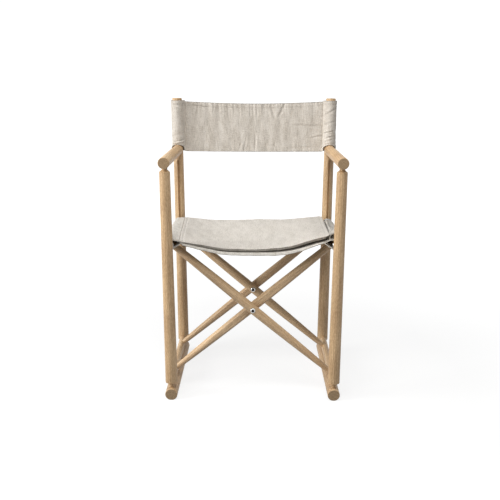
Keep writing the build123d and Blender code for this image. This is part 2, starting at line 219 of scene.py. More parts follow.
def linen(name, base, light, dark, warp_share):
    """Plain-woven linen laid out in metres on the UV map, V along the warp.

    The share says how much of the unevenness comes from the warp, the rest comes from the weft.
    """
    s = Shader(name)
    place = s.add("ShaderNodeTexCoord").outputs["UV"]
    wobble = s.noise(s.mapping(place, scale=(60, 60, 60)), 1.0, 2, 0.5)
    shift = s.stretch(wobble, 0, 1, -0.0007, 0.0007)
    push = s.add("ShaderNodeCombineXYZ", {"X": shift, "Y": shift}).outputs[0]
    moved = s.add("ShaderNodeVectorMath", {0: place, 1: push}, operation="ADD").outputs[0]
    split = s.add("ShaderNodeSeparateXYZ", {0: moved})
    pitch = math.pi / THREAD_WIDTH
    warp_wave = s.math("SINE", s.math("MULTIPLY", split.outputs["X"], pitch))
    weft_wave = s.math("SINE", s.math("MULTIPLY", split.outputs["Y"], pitch))
    over = s.math("MULTIPLY", warp_wave, weft_wave)
    warp_threads = s.noise(s.mapping(moved, scale=(1000, 45, 45)), 1.0, 2, 0.6)
    weft_threads = s.noise(s.mapping(moved, scale=(45, 1000, 45)), 1.0, 2, 0.6)
    warp_slubs = s.noise(s.mapping(moved, scale=(330, 42, 42)), 1.0, 3, 0.6)
    weft_slubs = s.noise(s.mapping(moved, scale=(70, 360, 70)), 1.0, 3, 0.6)
    cloud = s.noise(s.mapping(place, scale=(40, 11, 24)), 1.0, 4, 0.55)
    mottle = s.noise(place, 330.0, 3, 0.65)
    speck = s.noise(place, 1100.0, 2, 0.7)
    weft_share = 1 - warp_share
    threads = s.math("ADD", s.stretch(warp_threads, 0.3, 0.7, -warp_share, warp_share),
                     s.stretch(weft_threads, 0.3, 0.7, -weft_share, weft_share))
    slubs = s.math("ADD", s.stretch(warp_slubs, 0.3, 0.7, -warp_share, warp_share),
                   s.stretch(weft_slubs, 0.3, 0.7, -weft_share, weft_share))
    tone = s.math("ADD", s.math("MULTIPLY", threads, 0.28), s.math("MULTIPLY", slubs, 0.32))
    tone = s.math("ADD", tone, s.stretch(cloud, 0.3, 0.7, -0.20, 0.20))
    tone = s.math("ADD", tone, s.stretch(mottle, 0.3, 0.7, -0.26, 0.26))
    tone = s.math("ADD", tone, s.stretch(speck, 0.3, 0.7, -0.16, 0.16))
    tone = s.math("ADD", tone, s.math("MULTIPLY", over, 0.10))
    tone = s.math("ADD", tone, 0.5, clamp=True)
    colour = s.ramp(tone, [(0.0, dark), (0.5, base), (1.0, light)])
    s.set(Base_Color=colour, Roughness=s.stretch(tone, 0, 1, 0.95, 0.84))
    s.set(Specular_IOR_Level=0.18, Sheen_Weight=0.18, Sheen_Roughness=0.5)
    height = s.math("ADD", s.math("MULTIPLY", over, 0.35), s.math("MULTIPLY", slubs, 0.6))
    height = s.math("ADD", height, s.math("MULTIPLY", threads, 0.4))
    s.bump(s.math("ADD", height, mottle), 0.45, 0.00035)
    return s.material


def thread(name, colour):
    """Waxed sewing thread with a twist."""
    s = Shader(name)
    place = s.add("ShaderNodeTexCoord").outputs["Object"]
    twist = s.noise(place, 2600.0, 2, 0.6)
    shade = s.ramp(s.stretch(twist, 0.3, 0.7), [(0.0, tuple(c * 0.72 for c in colour)), (1.0, colour)])
    s.set(Base_Color=shade, Roughness=0.7)
    s.bump(twist, 0.4, 0.0001)
    return s.material


def steel(name, axis, socket=None):
    """Turned bright steel with fine lathe marks around axis.

    A socket is a point and a radius: the steel is painted dark within that radius of a line along Y through
    the point, as painted shade in the hex socket's hollow.
    """
    s = Shader(name)
    place = s.add("ShaderNodeTexCoord").outputs["Object"]
    marks = s.noise(s.mapping(place, scale=tuple(4200 if c else 160 for c in axis)), 1.0, 3, 0.6)
    smudge = s.noise(place, 120.0, 3, 0.6)
    shade = s.ramp(s.stretch(smudge, 0.3, 0.7), [(0.0, srgb(176, 176, 175)), (1.0, srgb(222, 222, 220))])
    if socket:
        middle, radius = socket
        in_plane = s.mapping(place, scale=(1, 0, 1))
        away = s.add("ShaderNodeVectorMath", {0: in_plane, 1: middle}, operation="DISTANCE").outputs["Value"]
        # Painted shade: the hex socket's hollow is painted near black.
        shade = s.mix(s.stretch(away, radius, radius * 1.1, 1.0, 0.0), shade, srgb(46, 44, 42))
    s.set(Base_Color=shade, Roughness=s.stretch(smudge, 0.3, 0.7, 0.18, 0.32), Metallic=1.0)
    s.bump(marks, 0.25, 0.00006)
    return s.material


FRAME_OAK = (srgb(230, 197, 152), srgb(146, 112, 77))
# The cross frame's oak is the frame oak painted lighter: painted light for the cross bars and rails, which
# get less light.
CROSS_OAK_PAINTED_LIGHT = (srgb(232, 201, 160), srgb(158, 125, 90))
HEX_SOCKET_SHADE_R = 4.4 * MM
LAID_ALONG_Y = (math.pi / 2, 0, 0)
UP = (0.0, 0.0, 1.0)
BACKWARD = (0.0, 1.0, 0.0)
LEAN_A = (-math.sin(BAR_LEAN), 0.0, math.cos(BAR_LEAN))
LEAN_B = (math.sin(BAR_LEAN), 0.0, math.cos(BAR_LEAN))

# The back's linen is the seat's linen painted darker: painted shade for the upright back cloth.
BACK_LINEN_PAINTED_SHADE = linen("back_linen_painted_shade", srgb(208, 200, 189), srgb(229, 223, 214), srgb(171, 162, 149), 0.62)
SEAT_LINEN = linen("seat_linen", srgb(212, 207, 198), srgb(230, 226, 218), srgb(180, 173, 161), 0.45)
PAD_LINEN = linen("pad_linen", srgb(213, 207, 198), srgb(229, 224, 216), srgb(187, 181, 170), 0.62)
THREAD = thread("linen_thread", srgb(190, 181, 165))
STEEL = steel("bright_steel", BACKWARD)


def finish_node(node, material):
    """Gives a CAD node its one material."""
    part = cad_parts[node]
    part.data.materials.clear()
    part.data.materials.append(material)


def finish_oak(node, rotation, tones, seed, along):
    """Gives a CAD node oak of its own, with the grain along the piece."""
    finish_node(node, oak(f"oak_{node}", rotation, *tones, seed, along))


def finish_wood():
    seed = 0
    for side in ("left", "right"):
        for node in ("front_post", "rear_post"):
            seed += 1
            finish_oak(f"{node}_{side}", (0, 0, 0.9 * seed), FRAME_OAK, seed, UP)
        for node in ("armrest", "runner", "arm_dowel"):
            seed += 1
            finish_oak(f"{node}_{side}", LAID_ALONG_Y, FRAME_OAK, seed, BACKWARD)
        for node in ("seat_rail", "lower_rail"):
            seed += 1
            finish_oak(f"{node}_{side}", LAID_ALONG_Y, CROSS_OAK_PAINTED_LIGHT, seed, BACKWARD)
    for end in ("front", "rear"):
        for kind, lean, along in (("a", BAR_LEAN, LEAN_A), ("b", -BAR_LEAN, LEAN_B)):
            seed += 1
            finish_oak(f"cross_bar_{end}_{kind}", (0, lean, 0), CROSS_OAK_PAINTED_LIGHT, seed, along)


def finish_steel():
    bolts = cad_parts["crossing_bolts"]
    axis_point = bolts.matrix_world.inverted() @ CROSSING
    # Painted shade for the crossing bolts' hex sockets, centred on their axis.
    socket = ((axis_point.x, 0.0, axis_point.z), HEX_SOCKET_SHADE_R)
    finish_node("crossing_bolts", steel("bolt_steel_socket_shade", BACKWARD, socket))
    for node in ("crossing_nuts", "crossing_washers"):
        finish_node(node, STEEL)
    for side in ("left", "right"):
        for node in ("pivot_pins", "slide_pins", "rail_collars"):
            finish_node(f"{node}_{side}", STEEL)


# -------- mesh helpers

STITCH_SIDES, STITCH_STEPS = 6, 5
STITCH = (2.7 * MM, 1.5 * MM, 0.36 * MM)
SLEEVE_STITCH = (2.6 * MM, 1.5 * MM, 0.34 * MM)


def smoothstep(x, low, high):
    t = np.clip((x - low) / (high - low), 0, 1)
    return t * t * (3 - 2 * t)


class Folds:
    """Smooth seeded unevenness made of a few plane waves."""

    def __init__(self, seed, count, wavelengths, angles):
        source = np.random.default_rng(seed)
        size = source.uniform(*wavelengths, count)
        heading = np.radians(source.uniform(*angles, count))
        self.u = 2 * np.pi / size * np.cos(heading)
        self.v = 2 * np.pi / size * np.sin(heading)
        self.phase = source.uniform(0, 2 * np.pi, count)
        self.gain = source.uniform(0.5, 1.0, count) / math.sqrt(count)

    def __call__(self, u, v):
        total = 0
        for a, b, phase, gain in zip(self.u, self.v, self.phase, self.gain):
            total = total + gain * np.sin(a * u + b * v + phase)
        return total


class Mesher:
    """Gathers vertices, faces, UVs and material numbers of one mesh."""

    def __init__(self):
        self.points, self.faces, self.uvs, self.kinds = [], [], [], []

    def grid(self, points, uv, kind=0, close_u=False, flip=False):
        """A grid of points[i, j] with uv[i, j]; i may wrap around. Returns the number of its first vertex."""
        rows, columns = points.shape[:2]
        start = len(self.points)
        self.points.extend(points.reshape(-1, 3).tolist())
        uv = uv.reshape(-1, 2)
        last = rows if close_u else rows - 1
        for i in range(last):
            for j in range(columns - 1):
                a = i * columns + j
                b = ((i + 1) % rows) * columns + j
                face = [a, a + 1, b + 1, b]
                if flip:
                    face.reverse()
                self.faces.append([start + k for k in face])
                self.uvs.append([uv[k] for k in face])
                self.kinds.append(kind)
        return start

    def strip(self, ring_a, ring_b, uv, kind):
        """Joins two equal lists of vertex numbers with quads."""
        for a, b, c, d in zip(ring_a, ring_a[1:], ring_b[1:], ring_b):
            self.faces.append([a, b, c, d])
            self.uvs.append([uv] * 4)
            self.kinds.append(kind)

    def stitches(self, path, normals, length, gap, radius, kind=1):
        """A row of stitches along a path of points, standing on the cloth along normals."""
        steps = np.linalg.norm(np.diff(path, axis=0), axis=1)
        along = np.concatenate([[0], np.cumsum(steps)])
        count = int(along[-1] / (length + gap))
        if count < 1:
            return
        pitch = along[-1] / count
        for k in range(count):
            s0 = (k + 0.5) * pitch - length / 2
            marks = s0 + length * np.linspace(0, 1, STITCH_STEPS)
            spine = np.stack([np.interp(marks, along, path[:, c]) for c in range(3)], 1)
            up = np.array([np.interp(s0 + length / 2, along, normals[:, c]) for c in range(3)])
            up /= np.linalg.norm(up)
            forward = spine[-1] - spine[0]
            forward /= np.linalg.norm(forward)
            across = np.cross(up, forward)
            rings = []
            for share, centre_point in zip(np.linspace(0, 1, STITCH_STEPS), spine):
                swell = math.sin(math.pi * (0.08 + 0.84 * share))
                lift = up * radius * (0.9 * swell - 0.35)
                turn = np.linspace(0, 2 * math.pi, STITCH_SIDES, endpoint=False)
                ring = centre_point + lift + radius * swell * (
                    np.cos(turn)[:, None] * across + np.sin(turn)[:, None] * up
                )
                rings.append(ring)
            rings = np.stack(rings, 1)
            plain = np.zeros((STITCH_SIDES, STITCH_STEPS, 2))
            start = self.grid(rings, plain, kind, close_u=True, flip=True)
            for column, order in ((0, 1), (STITCH_STEPS - 1, -1)):
                cap = [start + i * STITCH_STEPS + column for i in range(STITCH_SIDES)][::order]
                self.faces.append(cap)
                self.uvs.append([(0.0, 0.0)] * STITCH_SIDES)
                self.kinds.append(kind)

    def build(self, name, materials):
        mesh = bpy.data.meshes.new(name)
        mesh.from_pydata(self.points, [], self.faces)
        layer = mesh.uv_layers.new(name="cloth")
        layer.data.foreach_set("uv", np.concatenate([np.array(u, float).ravel() for u in self.uvs]))
        for material in materials:
            mesh.materials.append(material)
        mesh.polygons.foreach_set("material_index", self.kinds)
        mesh.polygons.foreach_set("use_smooth", [True] * len(self.faces))
        mesh.update()
        piece = bpy.data.objects.new(name, mesh)
        bpy.context.scene.collection.objects.link(piece)
        return piece


def nearest(values, target):
    """Index of the value nearest to target."""
    return int(np.argmin(np.abs(values - target)))


def grid_normals(points):
    """Unit normals of a grid of points."""
    normal = np.cross(np.gradient(points, axis=0), np.gradient(points, axis=1))
    return normal / np.maximum(np.linalg.norm(normal, axis=2, keepdims=True), 1e-12)


def grid_border(rows, columns):
    """Grid places (i, j) once round the border of a grid."""
    border = [(i, 0) for i in range(rows)] + [(rows - 1, j) for j in range(1, columns)]
    border += [(i, columns - 1) for i in range(rows - 2, -1, -1)]
    return border + [(0, j) for j in range(columns - 2, 0, -1)]


def closed_sheet(mesher, points, uv, thickness, kind=0):
    """A cloth of real thickness around a middle surface, closed by a narrow rim.

    Thickness may vary by point. Returns the two faces and the normals of the middle surface.
    """
    normal = grid_normals(points)
    half = np.asarray(thickness) / 2
    half = half[..., None] if half.ndim else half
    front = points + normal * half
    back = points - normal * half
    rows, columns = points.shape[:2]
    a = mesher.grid(front, uv, kind, flip=True)
    b = mesher.grid(back, uv, kind)
    border = grid_border(rows, columns)
    middle = []
    for i, j in border:
        ni, nj = min(max(i, 1), rows - 2), min(max(j, 1), columns - 2)
        outward = points[i, j] - points[ni, nj]
        outward /= max(np.linalg.norm(outward), 1e-9)
        reach = half[i, j, 0] if np.ndim(half) else half
        middle.append(len(mesher.points))
        mesher.points.append((points[i, j] + outward * reach).tolist())
    edge_uv = (float(uv[0, 0, 0]), float(uv[0, 0, 1]))
    middle.append(middle[0])
    ring_a = [a + i * columns + j for i, j in border]
    ring_b = [b + i * columns + j for i, j in border]
    ring_a.append(ring_a[0])
    ring_b.append(ring_b[0])
    mesher.strip(ring_a, middle, edge_uv, kind)
    mesher.strip(middle, ring_b, edge_uv, kind)
    return front, back, normal


def sleeve_loop(seam, radius, count):
    """A cloth loop in section: from a seam point, round a rod at the origin and back to the seam.

    Returns the points, their outward directions and their distances along the cloth.
    """
    reach = np.linalg.norm(seam)
    bearing = math.atan2(seam[1], seam[0])
    spread = math.acos(radius / reach)
    straight = math.sqrt(reach**2 - radius**2)
    wrap = radius * (2 * math.pi - 2 * spread)
    total = 2 * straight + wrap
    walk = np.linspace(0, total, count)
    angle = bearing + spread + np.clip((walk - straight) / radius, 0, wrap / radius)
    outward = np.stack([np.cos(angle), np.sin(angle)], 1)
    touch = outward * radius
    first = np.clip(1 - walk / straight, 0, 1)[:, None]
    last = np.clip((walk - straight - wrap) / straight, 0, 1)[:, None]
    points = touch * (1 - first - last) + np.asarray(seam) * (first + last)
    return points, outward, walk


def crease(u, v, start, end, width, depth):
    """A soft valley on the cloth. The line from start to end, width and depth are in millimetres."""
    start, end = (start[0] * MM, start[1] * MM), (end[0] * MM, end[1] * MM)
    width, depth = width * MM, depth * MM
    du, dv = end[0] - start[0], end[1] - start[1]
    length = math.hypot(du, dv)
    along = ((u - start[0]) * du + (v - start[1]) * dv) / length
    across = ((u - start[0]) * dv - (v - start[1]) * du) / length
    fade = smoothstep(along, -0.15 * length, 0.25 * length)
    fade = fade * (1 - smoothstep(along, 0.75 * length, 1.15 * length))
    ridge = 0.7 * np.exp(-(((across - 1.8 * width) / (1.4 * width)) ** 2))
    return depth * (-np.exp(-((across / width) ** 2)) + ridge) * fade


# -------- back cloth

CLOTH = 1.5 * MM
HEM = 13 * MM
POST_CLEARANCE = 1.1 * MM
SEAM_REACH = 7.5 * MM
SEAM_BACK = 2.5 * MM
SLEEVE_TALL = 130 * MM
SLEEVE_WALL = 2.5 * MM
POST_TAPER = 0.9
BACK_SAG = 7 * MM
BACK_HOLLOW = 9 * MM
PANEL_Y = centre("back_panel").y
ARM = centre("armrest_right")
ARM_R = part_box("armrest_right")[1].z - ARM.z


def post_radius(z):
    """Radius of a rear post where the back cloth sits."""
    low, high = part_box("back_sleeve_right")
    lower_r = (high.x - low.x) / 2 - SLEEVE_WALL
    return lower_r - (z - SLEEVE_LOW) / (CHAIR_TOP - LOWER_PIVOT.z) * (FOOT_R - lower_r) * POST_TAPER


def seam_x():
    """Distance from the chair's middle plane to the seam beside each back sleeve."""
    return POST_X - post_radius(BACK_HIGH.z) - SEAM_REACH


# Start, end, width and depth of each crease: along the cloth and up, in millimetres.
SLEEVE_CREASES = {
    "left": [
        ((6, 741), (46, 734), 1.7, 4.6),
        ((12, 842), (36, 850), 3.0, 0.7),
        ((20, 784), (46, 802), 4.0, 0.8),
    ],
    "right": [
        ((42, 770), (8, 761), 1.6, 2.4),
        ((48, 838), (10, 814), 3.4, 1.2),
        ((42, 753), (14, 744), 2.2, 1.0),
        ((44, 744), (20, 736), 1.8, 0.9),
        ((46, 800), (12, 786), 3.0, 0.7),
    ],
}


def back_sleeve(side, name):
    """A sleeve that wraps a rear post, closes at the seam beside it and is notched round the armrest."""
    sign = 1 if side == "right" else -1
    around, tall = 110, 96
    soft = Folds(11 + sign, 9, (18 * MM, 52 * MM), (15, 75))
    ripples = Folds(31 + sign, 7, (9 * MM, 22 * MM), (60, 110))
    seam = np.array([-(POST_X - seam_x()), PANEL_Y + SEAM_BACK - POST_Y])
    points = np.zeros((around, tall, 3))
    uv = np.zeros((around, tall, 2))
    base = sleeve_loop(seam, post_radius(SLEEVE_LOW) + POST_CLEARANCE, around)[0]
    in_front = smoothstep(-base[:, 1], -3 * MM, 1 * MM)
    clear = ARM_R + 1.6 * MM
    over_arm = ARM.z + np.sqrt(np.clip(clear**2 - base[:, 0] ** 2, 0, None))
    notch = np.where(np.abs(base[:, 0]) < clear, np.maximum(over_arm - BACK_LOW.z, 0), 0)
    low = BACK_LOW.z + notch * in_front
    for j, h in enumerate(np.linspace(0, 1, tall)):
        z = low + h * (SLEEVE_HIGH - low)
        radius = post_radius(SLEEVE_LOW + h * SLEEVE_TALL) + POST_CLEARANCE
        section, outward, walk = sleeve_loop(seam, radius, around)
        share = walk / walk[-1]
        near_seam = np.clip(np.minimum(share, 1 - share) * 7, 0, 1)
        from_arm = z - SLEEVE_LOW
        loose = 0.30 * MM + 0.75 * MM * (1 - smoothstep(from_arm, 0, 50 * MM))
        lift = (soft(walk, z) + 0.4 * ripples(walk, z)) * loose * near_seam
        for start, end, width, depth in SLEEVE_CREASES[side]:
            lift = lift + near_seam * crease(walk, z, start, end, width, depth)
        hem = 0.5 * MM * (1 - smoothstep(z, low + 9 * MM, low + 10.2 * MM))
        hem = hem + 1.7 * MM * np.exp(-(((z - low) / (8 * MM)) ** 2))
        hem = hem + 0.5 * MM * smoothstep(z, SLEEVE_HIGH - 10.2 * MM, SLEEVE_HIGH - 9 * MM)
        off_post = np.maximum(lift, -POST_CLEARANCE) + hem + 1.5 * MM * near_seam + 0.3 * MM
        section = section + outward * off_post[:, None]
        points[:, j] = np.stack([sign * (POST_X + section[:, 0]), POST_Y + section[:, 1], z], 1)
        uv[:, j] = np.stack([walk, z], 1)
    if sign < 0:
        points, uv = points[::-1], uv[::-1]
    mesher = Mesher()
    front, back, normal = closed_sheet(mesher, points, uv, CLOTH)
    away = np.mean(normal[:, :, 0] * (points[:, :, 0] - sign * POST_X))
    outer, facing = (front, normal) if away > 0 else (back, -normal)
    upper_row = nearest(points[around // 2, :, 2], SLEEVE_HIGH - 8 * MM)
    lower_row = 5
    for row in (upper_row, lower_row):
        mesher.stitches(outer[3:-3, row], facing[3:-3, row], *SLEEVE_STITCH)
    piece = mesher.build(name, [BACK_LINEN_PAINTED_SHADE, THREAD])
    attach(piece, f"{side}_frame")
    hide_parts(f"back_sleeve_{side}")


# Start, end, width and depth of each crease: sideways and up, in millimetres.
PANEL_CREASES = [
    ((222, 754), (184, 746), 2.2, 1.5),
    ((216, 782), (120, 787), 3.4, 0.9),
    ((-150, 842), (-212, 850), 3.0, 0.8),
    ((190, 716), (90, 712), 3.0, 0.6),
    ((4, 700), (6, 752), 3.2, 1.5),
    ((-50, 700), (-40, 730), 3.6, 1.2),
    ((-32, 700), (-26, 738), 3.2, 1.0),
    ((47, 700), (40, 728), 3.0, 0.9),
    ((64, 700), (68, 730), 3.0, 0.8),
    ((-160, 700), (-163, 728), 3.0, 0.9),
    ((-122, 700), (-124, 722), 3.0, 0.8),
    ((-15, 860), (-12, 812), 2.6, 1.2),
    ((9, 860), (11, 816), 2.6, 1.2),
    ((50, 860), (68, 804), 4.0, 1.5),
    ((104, 862), (80, 812), 4.0, 1.3),
    ((-178, 862), (-181, 815), 3.0, 1.0),
    ((-127, 860), (-129, 826), 3.0, 0.8),
    ((32, 856), (30, 834), 2.6, 0.7),
]


def back_panel(name):
    """The free part of the back cloth, hollow to the rear, with hems above and below."""
    half = seam_x() + 1 * MM
    wide = 240
    x = np.linspace(-half, half, wide)
    rise = np.concatenate(
        [np.linspace(0, 0.1, 14), np.linspace(0.1, 0.9, 52)[1:-1], np.linspace(0.9, 1, 14)]
    )
    X, H = np.meshgrid(x, rise, indexing="ij")
    middle = 1 - np.abs(X / half) ** 1.8
    top = BACK_HIGH.z - 2 * MM - BACK_SAG * middle
    low = BACK_LOW.z - 1 * MM - 1.5 * MM * middle
    Z = low + H * (top - low)
    from_seam = half - np.abs(X)
    from_top, from_low = top - Z, Z - low
    upright = Folds(3, 12, (24 * MM, 85 * MM), (-9, 9))
    diagonal = Folds(5, 8, (30 * MM, 70 * MM), (25, 65))
    side_pucker = Folds(8, 8, (8 * MM, 18 * MM), (75, 105))
    hem_pucker = Folds(9, 14, (9 * MM, 24 * MM), (-6, 6))
    inside = smoothstep(from_seam, 0, 20 * MM)
    Y = PANEL_Y + BACK_HOLLOW * middle * (0.5 + 0.5 * H) + SEAM_BACK * np.exp(-from_seam / (5 * MM))
    Y += 0.9 * MM * upright(X, Z) * smoothstep(from_seam, 0, 45 * MM) * H
    Y += 0.8 * MM * upright(X + 0.31, Z) * smoothstep(from_seam, 0, 45 * MM) * (1 - H)
    Y += 0.8 * MM * diagonal(X, Z) * smoothstep(from_seam, 0, 30 * MM)
    Y += 0.6 * MM * side_pucker(X, Z) * np.exp(-from_seam / (16 * MM)) * smoothstep(from_seam, 0, 4 * MM)
    Y += 1.0 * MM * hem_pucker(X, Z) * np.exp(-from_top / (26 * MM)) * inside
    Y += 0.6 * MM * hem_pucker(X + 0.1, Z) * np.exp(-from_low / (20 * MM)) * inside
    for start, end, width, depth in PANEL_CREASES:
        Y -= crease(X, Z, start, end, width, depth)
    hem_low = 1 - smoothstep(from_low, HEM - 1 * MM, HEM)
    hem_top = 1 - smoothstep(from_top, HEM - 1 * MM, HEM)
    off_stitches = [gap - HEM + 2 * MM for gap in (from_low, from_top)]
    ditch = sum(np.exp(-((off / (1.1 * MM)) ** 2)) for off in off_stitches)
    points = np.stack([X, Y, Z], 2)
    thickness = CLOTH + 1.2 * MM * (hem_low + hem_top) - 0.8 * MM * ditch
    uv = np.stack([X, Z], 2)
    mesher = Mesher()
    front, back, normal = closed_sheet(mesher, points, uv, thickness)
    for surface, facing in ((front, normal), (back, -normal)):
        for off in off_stitches:
            column = np.argmin(np.abs(off), axis=1)
            rows = np.arange(wide)
            mesher.stitches(surface[rows, column], facing[rows, column], *STITCH)
        for index in (2, wide - 3):
            mesher.stitches(surface[index], facing[index], *STITCH)
    piece = mesher.build(name, [BACK_LINEN_PAINTED_SHADE, THREAD])
    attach(piece, "left_frame")
    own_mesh(piece)
    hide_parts("back_panel")


# -------- seat cloth

SEAT_SEAM = 40 * MM
SEAT_FRONT_SAG = 38.5 * MM
TIGHT_CORNER = 4 * MM
SEAT_REAR_SAG = 7 * MM
SEAT_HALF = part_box("seat_sleeve_right")[1].y
RAIL_CLEARANCE = 1.6 * MM
SLING_TOP = RAIL.z + RAIL_R + RAIL_CLEARANCE
SLING_HALF = POST_X - SEAT_SEAM + 1 * MM
SLING_FRONT_TURN = 7 * MM
SLING_FRONT_DEG = 106
REAR_CUT = 38 * MM
FLAP_TURN = 3 * MM
FLAP_OVER_RAIL = 1.15
PAD_THICK = 10 * MM
PAD_SHIFT = 4 * MM
PAD_MEAN_HALF = 219.7 * MM
PAD_FLARE = 4.2 * MM
PAD_CORNER = 12 * MM
PAD_GAP = 2 * MM
PAD_INSET = 10 * MM
# The pad's edge, from top to bottom: how far outward and how far up from its upper rim, in millimetres.
PAD_EDGE = [
    (0.6, -0.2), (1.0, -0.8), (0.5, -1.4), (-1.0, -1.8), (-2.4, -2.3),
    (-3.4, -3.8), (-4.8, -5.6), (-6.6, -7.6), (-8.2, -9.4),
]


def sling_height(x, y):
    """Height of the sling's middle surface: nearly level in the middle, steeper beside the rails."""
    reach = np.minimum(np.abs(x) / POST_X, 1)
    bend, slope_share = 9.0, 0.64
    front_shape = -np.log(np.exp(-bend) + np.exp(-bend * (1 - reach) / slope_share)) / bend
    rear_shape = 1 - reach**3.2
    forward = smoothstep((SEAT_HALF - y) / (2 * SEAT_HALF), -0.35, 1.02)
    rear_dip = 3.0 * MM * np.exp(-(((x + 140 * MM) / (50 * MM)) ** 2))
    rear_rise = 1.5 * MM * np.exp(-(((x - 20 * MM) / (60 * MM)) ** 2))
    rear_sag = SEAT_REAR_SAG * rear_shape + (rear_dip - rear_rise)
    front_sag = SEAT_FRONT_SAG * front_shape - TIGHT_CORNER * smoothstep(x, 110 * MM, 190 * MM)
    return SLING_TOP - rear_sag * (1 - forward) - front_sag * forward


def pad_lift(x, y):
    """How far the pad stands off the sling: its front right part has lifted."""
    front_right = smoothstep(x, 10 * MM, 150 * MM) * smoothstep(-y, 20 * MM, 150 * MM)
    lift = 3.5 * MM * front_right + 2.4 * MM * smoothstep(-y, 60 * MM, 150 * MM)
    return lift * smoothstep(x, -230 * MM, -120 * MM) + 2.2 * MM * x / POST_X


def pad_thickness(x, y):
    """The pad is pressed thin at its front left corner."""
    return PAD_THICK * (1 - 0.35 * smoothstep(-x, 120 * MM, 210 * MM) * smoothstep(-y, 40 * MM, 150 * MM))


def pad_edge(side, y):
    """Distance from the middle plane to the pad's side edge, and the height of the pad's top there."""
    share = (y - PAD_LOW.y) / (PAD_HIGH.y - PAD_LOW.y)
    sign = 1 if side == "right" else -1
    x = sign * (PAD_MEAN_HALF + PAD_FLARE * (2 * share - 1)) + PAD_SHIFT * (1 - share)
    return np.abs(x), sling_height(x, y) + PAD_GAP + pad_lift(x, y) + pad_thickness(x, y)


def seat_sleeve(side, name):
    """A sleeve loop around a seat rail, open at both ends.

    The right one is cut back on a slant at its rear end and stands off the rail a little at its front end.
    """
    sign = 1 if side == "right" else -1
    deep, around = 130, 96
    share = np.linspace(0, 1, around)
    from_seam = np.minimum(share, 1 - share)
    rear = SEAT_HALF - (REAR_CUT if side == "right" else 0) * smoothstep(from_seam, 0.03, 0.2)
    shrink = (rear + SEAT_HALF) / (2 * SEAT_HALF)
    radius = RAIL_R + RAIL_CLEARANCE
    y = np.linspace(-SEAT_HALF, SEAT_HALF, deep)
    points = np.zeros((around, deep, 3))
    uv = np.zeros((around, deep, 2))
    bag = Folds(41 + sign, 7, (40 * MM, 110 * MM), (60, 120))
    creases = Folds(51 + sign, 9, (16 * MM, 44 * MM), (35, 100))
    for j, yy in enumerate(y):
        seam = np.array([-SEAT_SEAM, float(sling_height(POST_X - SEAT_SEAM, yy)) - RAIL.z - 0.4 * MM])
        section, outward, walk = sleeve_loop(seam, radius, around)
        ends = np.clip(from_seam * 8, 0, 1)
        under = smoothstep(share, 0.62, 0.8) * (1 - smoothstep(share, 0.85, 1.0))
        end_gap = SEAT_HALF - abs(yy)
        own_y = (yy + SEAT_HALF) * shrink - SEAT_HALF
        lift = (0.35 * MM * creases(walk, yy) + 0.4 * MM * bag(walk, yy)) * ends
        flare = np.exp(-end_gap / (9 * MM))
        lift = np.maximum(lift, -0.25 * MM) + 0.35 * MM + 1.6 * MM * under + 0.9 * MM * ends * flare
        if side == "right":
            on_top = smoothstep(outward[:, 1], 0.0, 0.8) * ends
            lift = lift + 2.6 * MM * on_top * smoothstep(-yy, 60 * MM, SEAT_HALF)
        section = section + outward * lift[:, None]
        points[:, j, 0] = sign * (POST_X + section[:, 0])
        points[:, j, 1] = own_y + 0.9 * MM * bag(walk, yy) * smoothstep(abs(yy) / SEAT_HALF, 0.7, 1)
        points[:, j, 2] = RAIL.z + section[:, 1]
        uv[:, j] = np.stack([walk, own_y], 1)
    if sign < 0:
        points, uv = points[::-1], uv[::-1]
    mesher = Mesher()
    edge_gap = SEAT_HALF - np.abs(y)
    hem = np.broadcast_to(1 - smoothstep(edge_gap, 10 * MM, 11 * MM), (around, deep))
    front, back, normal = closed_sheet(mesher, points, uv, CLOTH + 1.3 * MM * hem)
    outer, facing = outer_side(front, back, normal, points, (sign * POST_X, RAIL.z))
    for column in (nearest(y + SEAT_HALF, 8.5 * MM), nearest(SEAT_HALF - y, 8.5 * MM)):
        mesher.stitches(outer[2:-2, column], facing[2:-2, column], *STITCH)
    piece = mesher.build(name, [SEAT_LINEN, THREAD])
    body = "cross_frame_b" if side == "right" else "cross_frame_a"
    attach(piece, body)
    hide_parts(f"seat_sleeve_{side}")


def outer_side(front, back, normal, points, axis):
    """Picks the face of a loop around a rod along Y that looks away from the rod."""
    sideways = normal[:, :, 0] * (points[:, :, 0] - axis[0])
    away = np.mean(sideways + normal[:, :, 2] * (points[:, :, 2] - axis[1]))
    return (front, normal) if away > 0 else (back, -normal)


